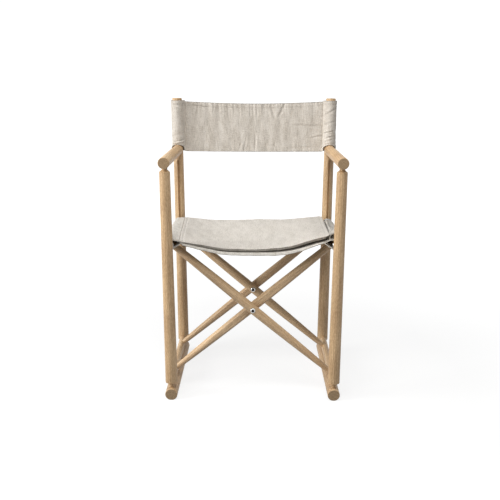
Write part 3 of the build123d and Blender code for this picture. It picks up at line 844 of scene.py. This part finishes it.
def seat_flap(side, name):
    """The seat cover's side flap: up from the sling beside the pad, level to the rail and down over it.

    The right one stands up at its front end, and its rear edge is cut on a slant.
    """
    sign = 1 if side == "right" else -1
    right = side == "right"
    radius = RAIL_R + 4.6 * MM
    front_y = -SEAT_HALF + (9 * MM if right else 2 * MM)
    rear_inner = 88 * MM if right else SEAT_HALF - 2 * MM
    rear_outer = SEAT_HALF - (36 * MM if right else 1 * MM)
    stands, turns, lies = 0.1, 0.2, 0.6
    across = np.concatenate([
        np.linspace(0, stands, 7), np.linspace(stands, turns, 9)[1:],
        np.linspace(turns, lies, 22)[1:], np.linspace(lies, 1, 16)[1:],
    ])
    T, D = np.meshgrid(across, np.linspace(0, 1, 110), indexing="ij")
    slant = smoothstep(T, 0.35, 0.8)
    Y = front_y + D * (rear_inner + (rear_outer - rear_inner) * slant - front_y)
    edge, pad_top = pad_edge(side, Y)
    forward = smoothstep(-Y, -20 * MM, 150 * MM)
    gap = 1.8 * MM + (5.0 * MM * smoothstep(Y, -140 * MM, -30 * MM) if right else 0)
    inner = edge + gap - POST_X
    stand = (20 * MM if right else 0.8 * MM) * forward
    shoulder = pad_top - (3.2 * MM if right else 2.6 * MM) * (1 - 0.7 * forward)
    foot = sling_height(sign * (POST_X + inner), Y) + 3.6 * MM
    corner = np.clip((T - stands) / (turns - stands), 0, 1) * math.pi / 2
    run = np.clip((T - turns) / (lies - turns), 0, 1)
    wrap = np.clip((T - lies) / (1 - lies), 0, 1) * FLAP_OVER_RAIL
    on_rail = RAIL.z + stand + radius
    x_rel = inner + FLAP_TURN * (1 - np.cos(corner)) + (-inner - FLAP_TURN) * run + radius * np.sin(wrap)
    Z = foot + (shoulder - FLAP_TURN - foot) * np.clip(T / stands, 0, 1) + FLAP_TURN * np.sin(corner)
    Z = Z + (on_rail - shoulder) * smoothstep(run, 0, 1) - radius * (1 - np.cos(wrap))
    ripple = Folds(81 + sign, 9, (22 * MM, 70 * MM), (20, 160))
    Z = Z + 0.7 * MM * ripple(x_rel, Y) * smoothstep(T, 0.12, 0.3)
    points = np.stack([sign * (POST_X + x_rel), Y, Z], 2)
    length = (shoulder - foot) + 1.1 * FLAP_TURN + np.abs(inner) + FLAP_OVER_RAIL * radius
    uv = np.stack([T * float(length.mean()), Y], 2)
    if sign < 0:
        points, uv, across = points[::-1], uv[::-1], across[::-1]
    reach = D * (rear_outer - front_y)
    hem = 1 - smoothstep(np.minimum(reach, (rear_outer - front_y) - reach), 8 * MM, 9 * MM)
    mesher = Mesher()
    front, back, normal = closed_sheet(mesher, points, uv, CLOTH + 1.0 * MM * hem)
    outer, facing = outer_side(front, back, normal, points, (sign * POST_X, RAIL.z))
    for column in (nearest(reach[0], 7 * MM), nearest(reach[0], reach[0, -1] - 7 * MM)):
        mesher.stitches(outer[2:-2, column], facing[2:-2, column], *STITCH)
    row = nearest(across, 0.33)
    mesher.stitches(outer[row, 2:-2], facing[row, 2:-2], *STITCH)
    piece = mesher.build(name, [SEAT_LINEN, THREAD])
    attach(piece, "cross_frame_b" if right else "cross_frame_a")
    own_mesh(piece)


def seat_sling(name):
    """The free part of the seat cloth; its front hem hangs down a little."""
    seam = SLING_HALF
    wide = 150
    x = np.linspace(-seam, seam, wide)
    flat_length = 2 * SEAT_HALF
    turned = np.linspace(0, SLING_FRONT_TURN, 18)
    s = np.concatenate([turned, np.linspace(SLING_FRONT_TURN, flat_length, 92)[1:]])
    X, S = np.meshgrid(x, s, indexing="ij")
    bend = np.clip(1 - S / SLING_FRONT_TURN, 0, 1)
    side_fade = np.where(X < 0, 0.4, 0.8) * smoothstep(seam - np.abs(X), 0, 80 * MM)
    side_fade = np.where(X < 0, 0.6, 0.2) + side_fade
    angle = bend**0.8 * math.radians(SLING_FRONT_DEG) * side_fade
    step = np.gradient(s)
    run = np.cumsum(np.cos(angle) * step, axis=1)
    Y = run - run[:, :1] - SEAT_HALF
    drop = np.cumsum((np.sin(angle) * step)[:, ::-1], axis=1)[:, ::-1]
    folds = Folds(61, 9, (50 * MM, 130 * MM), (55, 125))
    small = Folds(62, 9, (22 * MM, 60 * MM), (0, 180))
    hang = Folds(63, 8, (24 * MM, 60 * MM), (-10, 10))
    Z = sling_height(X, Y) - drop
    edge = smoothstep(seam - np.abs(X), 0, 30 * MM)
    Z += (0.8 * MM * folds(X, Y) + 0.4 * MM * small(X, Y)) * edge
    Y += 1.0 * MM * hang(X, S) * bend * edge
    points = np.stack([X, Y, Z], 2)
    uv = np.stack([X, S], 2)
    hem = 1 - smoothstep(S, 11 * MM, 12 * MM)
    hem = hem + smoothstep(S, flat_length - 12 * MM, flat_length - 11 * MM)
    mesher = Mesher()
    fold_line = np.exp(-(((S - 3.2 * MM) / (1.0 * MM)) ** 2))
    front, back, normal = closed_sheet(mesher, points, uv, CLOTH + 1.1 * MM * hem - 1.8 * MM * fold_line)
    for surface, facing in ((front, normal), (back, -normal)):
        for target in (10.0 * MM, flat_length - 9 * MM):
            column = nearest(s, target)
            mesher.stitches(surface[:, column], facing[:, column], *STITCH)
        for index in (1, wide - 2):
            mesher.stitches(surface[index], facing[index], *STITCH)
    piece = mesher.build(name, [SEAT_LINEN, THREAD])
    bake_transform(piece)
    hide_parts("seat_panel")


def seat_pad(name):
    """A thin padded mat on the sling: a soft bead along its upper edge, and sides that slope in below."""
    wide, deep = 190, 140
    crowding = 1.36
    a = np.sin(np.linspace(-1, 1, wide) * crowding) / math.sin(crowding)
    b = np.sin(np.linspace(-1, 1, deep) * crowding) / math.sin(crowding)
    A, B = np.meshgrid(a, b, indexing="ij")
    middle_y = (PAD_LOW.y + PAD_HIGH.y) / 2
    half_y = (PAD_HIGH.y - PAD_LOW.y) / 2

    def plan(inset):
        """Plan position of the grid, with rounded corners and edges drawn in a little."""
        y_flat = B * (half_y - inset)
        half_x = PAD_MEAN_HALF + PAD_FLARE * B - inset
        x_flat = A * half_x
        cx = np.clip(np.abs(x_flat) - (half_x - PAD_CORNER), 0, PAD_CORNER)
        cy = np.clip(np.abs(y_flat) - (half_y - inset - PAD_CORNER), 0, PAD_CORNER)
        x_round = np.abs(x_flat) - cx + cx * np.sqrt(1 - (cy / PAD_CORNER) ** 2 / 2)
        y_round = np.abs(y_flat) - cy + cy * np.sqrt(1 - (cx / PAD_CORNER) ** 2 / 2)
        x_out = np.sign(A) * x_round
        y_out = np.sign(B) * y_round - 1.2 * MM * np.sign(B) * np.abs(B) ** 20 * (1 - A**2)
        return PAD_SHIFT * (1 - B) / 2 + x_out, middle_y + y_out

    plump = Folds(71, 12, (36 * MM, 110 * MM), (0, 180))
    ripple = Folds(72, 10, (14 * MM, 30 * MM), (0, 180))

    def heights(X, Y):
        """Heights of the upper and the lower cover over plan positions."""
        edge = np.minimum((1 - np.abs(A)) * 220 * MM, (1 - np.abs(B)) * half_y)
        crown = 1.8 * MM * (1 - A**4) * (1 - B**4)
        roll = 1.6 * MM * np.exp(-((edge / (7 * MM)) ** 2))
        ditch = 0.7 * MM * np.exp(-(((edge - 8 * MM) / (2.2 * MM)) ** 2))
        under = sling_height(X, Y) + PAD_GAP + pad_lift(X, Y)
        wave = 0.5 * MM * plump(X, Y) + 0.35 * MM * ripple(X, Y) * np.exp(-edge / (18 * MM))
        upper = under + pad_thickness(X, Y) + crown - roll * 0.5 - ditch + wave
        return upper, under - 0.2 * crown

    X, Y = plan(0)
    upper = heights(X, Y)[0]
    Xl, Yl = plan(PAD_INSET)
    lower = heights(Xl, Yl)[1]
    mesher = Mesher()
    top = mesher.grid(np.stack([X, Y, upper], 2), np.stack([X, Y], 2), flip=True)
    bottom = mesher.grid(np.stack([Xl, Yl, lower], 2), np.stack([X, Y], 2))
    border = grid_border(wide, deep)
    rim = np.array([(X[i, j], Y[i, j]) for i, j in border])
    ahead, behind = np.roll(rim, -1, 0), np.roll(rim, 1, 0)
    along = ahead - behind
    along /= np.maximum(np.linalg.norm(along, axis=1, keepdims=True), 1e-9)
    outward = np.stack([along[:, 1], -along[:, 0]], 1)
    high = np.array([upper[i, j] for i, j in border])
    length = np.concatenate([[0], np.cumsum(np.linalg.norm(np.diff(rim, axis=0), axis=1))])
    rings = [[top + i * deep + j for i, j in border]]
    for out, up in PAD_EDGE:
        start = len(mesher.points)
        flat = rim + outward * out * MM
        for (px, py), z in zip(flat, high):
            mesher.points.append([px, py, z + up * MM])
        rings.append(list(range(start, start + len(border))))
    rings.append([bottom + i * deep + j for i, j in border])
    depth, across, down = 0.0, 2 * MM, 1.5 * MM
    count = len(border)
    for ring_a, ring_b in zip(rings, rings[1:]):
        for n in range(count):
            m = (n + 1) % count
            mesher.faces.append([ring_a[n], ring_a[m], ring_b[m], ring_b[n]])
            u0, u1 = length[n], length[n] + across
            mesher.uvs.append([(u0, depth), (u1, depth), (u1, depth + down), (u0, depth + down)])
            mesher.kinds.append(0)
        depth += down
    piece = mesher.build(name, [PAD_LINEN, THREAD])
    weld(piece, 0.01 * MM)
    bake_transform(piece)
    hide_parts("seat_pad")


def weld(piece, distance):
    """Joins vertices that lie on each other and turns all faces outward."""
    work = bmesh.new()
    work.from_mesh(piece.data)
    bmesh.ops.remove_doubles(work, verts=work.verts, dist=distance)
    bmesh.ops.recalc_face_normals(work, faces=work.faces)
    work.to_mesh(piece.data)
    work.free()


# -------- camera, floor and light

# The camera as fitted to the photo, in millimetres for the lens, metres for the place, and degrees.
SENSOR, FOCAL, SHIFT_UP = 36.0, 48.95, 0.072
EYE = (0.0044, -2.0634, 0.9314)
PITCH, YAW, ROLL = 17.01, -0.39, -0.15
FLOOR_REACH = 40.0
FLOOR_TONE = 0.24
WORLD_LIGHT, WORLD_SEEN = 0.22, 1.05


def camera():
    lens = bpy.data.cameras.new("camera")
    lens.sensor_width = SENSOR
    lens.lens = FOCAL
    lens.shift_y = SHIFT_UP
    lens.clip_end = 200
    eye = bpy.data.objects.new("camera", lens)
    bpy.context.scene.collection.objects.link(eye)
    pitch, yaw, roll = (math.radians(a) for a in (PITCH, YAW, ROLL))
    eye.location = EYE
    turn = Matrix.Rotation(-yaw, 4, "Z") @ Matrix.Rotation(math.pi / 2 - pitch, 4, "X")
    eye.rotation_euler = (turn @ Matrix.Rotation(-roll, 4, "Z")).to_euler()
    bpy.context.scene.camera = eye


def floor():
    """A white floor. It glows, more so away from the chair, so that it stays white and shadows faint."""
    mesh = bpy.data.meshes.new("floor")
    corners = [(x * FLOOR_REACH, y * FLOOR_REACH, 0) for x, y in ((-1, -1), (1, -1), (1, 1), (-1, 1))]
    mesh.from_pydata(corners, [], [(0, 1, 2, 3)])
    ground = bpy.data.objects.new("floor", mesh)
    bpy.context.scene.collection.objects.link(ground)
    s = Shader("floor_white")
    s.set(Base_Color=(FLOOR_TONE, FLOOR_TONE, FLOOR_TONE, 1.0), Roughness=0.9, Specular_IOR_Level=0.0)
    place = s.add("ShaderNodeTexCoord").outputs["Object"]
    away = s.add("ShaderNodeVectorMath", {0: place}, operation="LENGTH").outputs["Value"]
    s.set(Emission_Color=(1.0, 1.0, 1.0, 1.0), Emission_Strength=s.stretch(away, 0.7, 2.4, 0.80, 1.1))
    mesh.materials.append(s.material)
    ground.visible_diffuse = False


def area_light(name, place, target, size, power):
    lamp = bpy.data.lights.new(name, "AREA")
    lamp.shape = "DISK"
    lamp.size = size
    lamp.energy = power
    holder = bpy.data.objects.new(name, lamp)
    bpy.context.scene.collection.objects.link(holder)
    holder.location = place
    holder.rotation_euler = (Vector(target) - Vector(place)).to_track_quat("-Z", "Y").to_euler()


def studio():
    """Soft white surroundings with a lamp from the left and one overhead."""
    world = bpy.data.worlds.new("studio")
    bpy.context.scene.world = world
    world.use_nodes = True
    tree = world.node_tree
    background = tree.nodes["Background"]
    background.inputs["Color"].default_value = (1.0, 1.0, 1.0, 1)
    background.inputs["Strength"].default_value = WORLD_LIGHT
    seen = tree.nodes.new("ShaderNodeBackground")
    seen.inputs["Color"].default_value = (1, 1, 1, 1)
    seen.inputs["Strength"].default_value = WORLD_SEEN
    chooser = tree.nodes.new("ShaderNodeMixShader")
    path = tree.nodes.new("ShaderNodeLightPath")
    direct = tree.nodes.new("ShaderNodeMath")
    direct.operation = "MAXIMUM"
    tree.links.new(path.outputs["Is Camera Ray"], direct.inputs[0])
    tree.links.new(path.outputs["Is Glossy Ray"], direct.inputs[1])
    tree.links.new(direct.outputs[0], chooser.inputs["Fac"])
    tree.links.new(background.outputs[0], chooser.inputs[1])
    tree.links.new(seen.outputs[0], chooser.inputs[2])
    tree.links.new(chooser.outputs[0], tree.nodes["World Output"].inputs["Surface"])
    area_light("side", place=(-2.6, -0.8, 1.35), target=(0, 0, 0.5), size=1.5, power=70)
    area_light("overhead", place=(0.0, -1.2, 2.7), target=(0, 0, 0.4), size=1.8, power=44)
    bpy.context.scene.view_settings.view_transform = "Standard"
    bpy.context.scene.view_settings.look = "None"


finish_wood()
finish_steel()
back_sleeve("left", "back_sleeve_cloth_left")
back_sleeve("right", "back_sleeve_cloth_right")
back_panel("back_cloth")
seat_sleeve("left", "seat_sleeve_cloth_left")
seat_sleeve("right", "seat_sleeve_cloth_right")
seat_flap("left", "seat_flap_left")
seat_flap("right", "seat_flap_right")
seat_sling("seat_sling")
seat_pad("seat_pad_cushion")
camera()
floor()
studio()
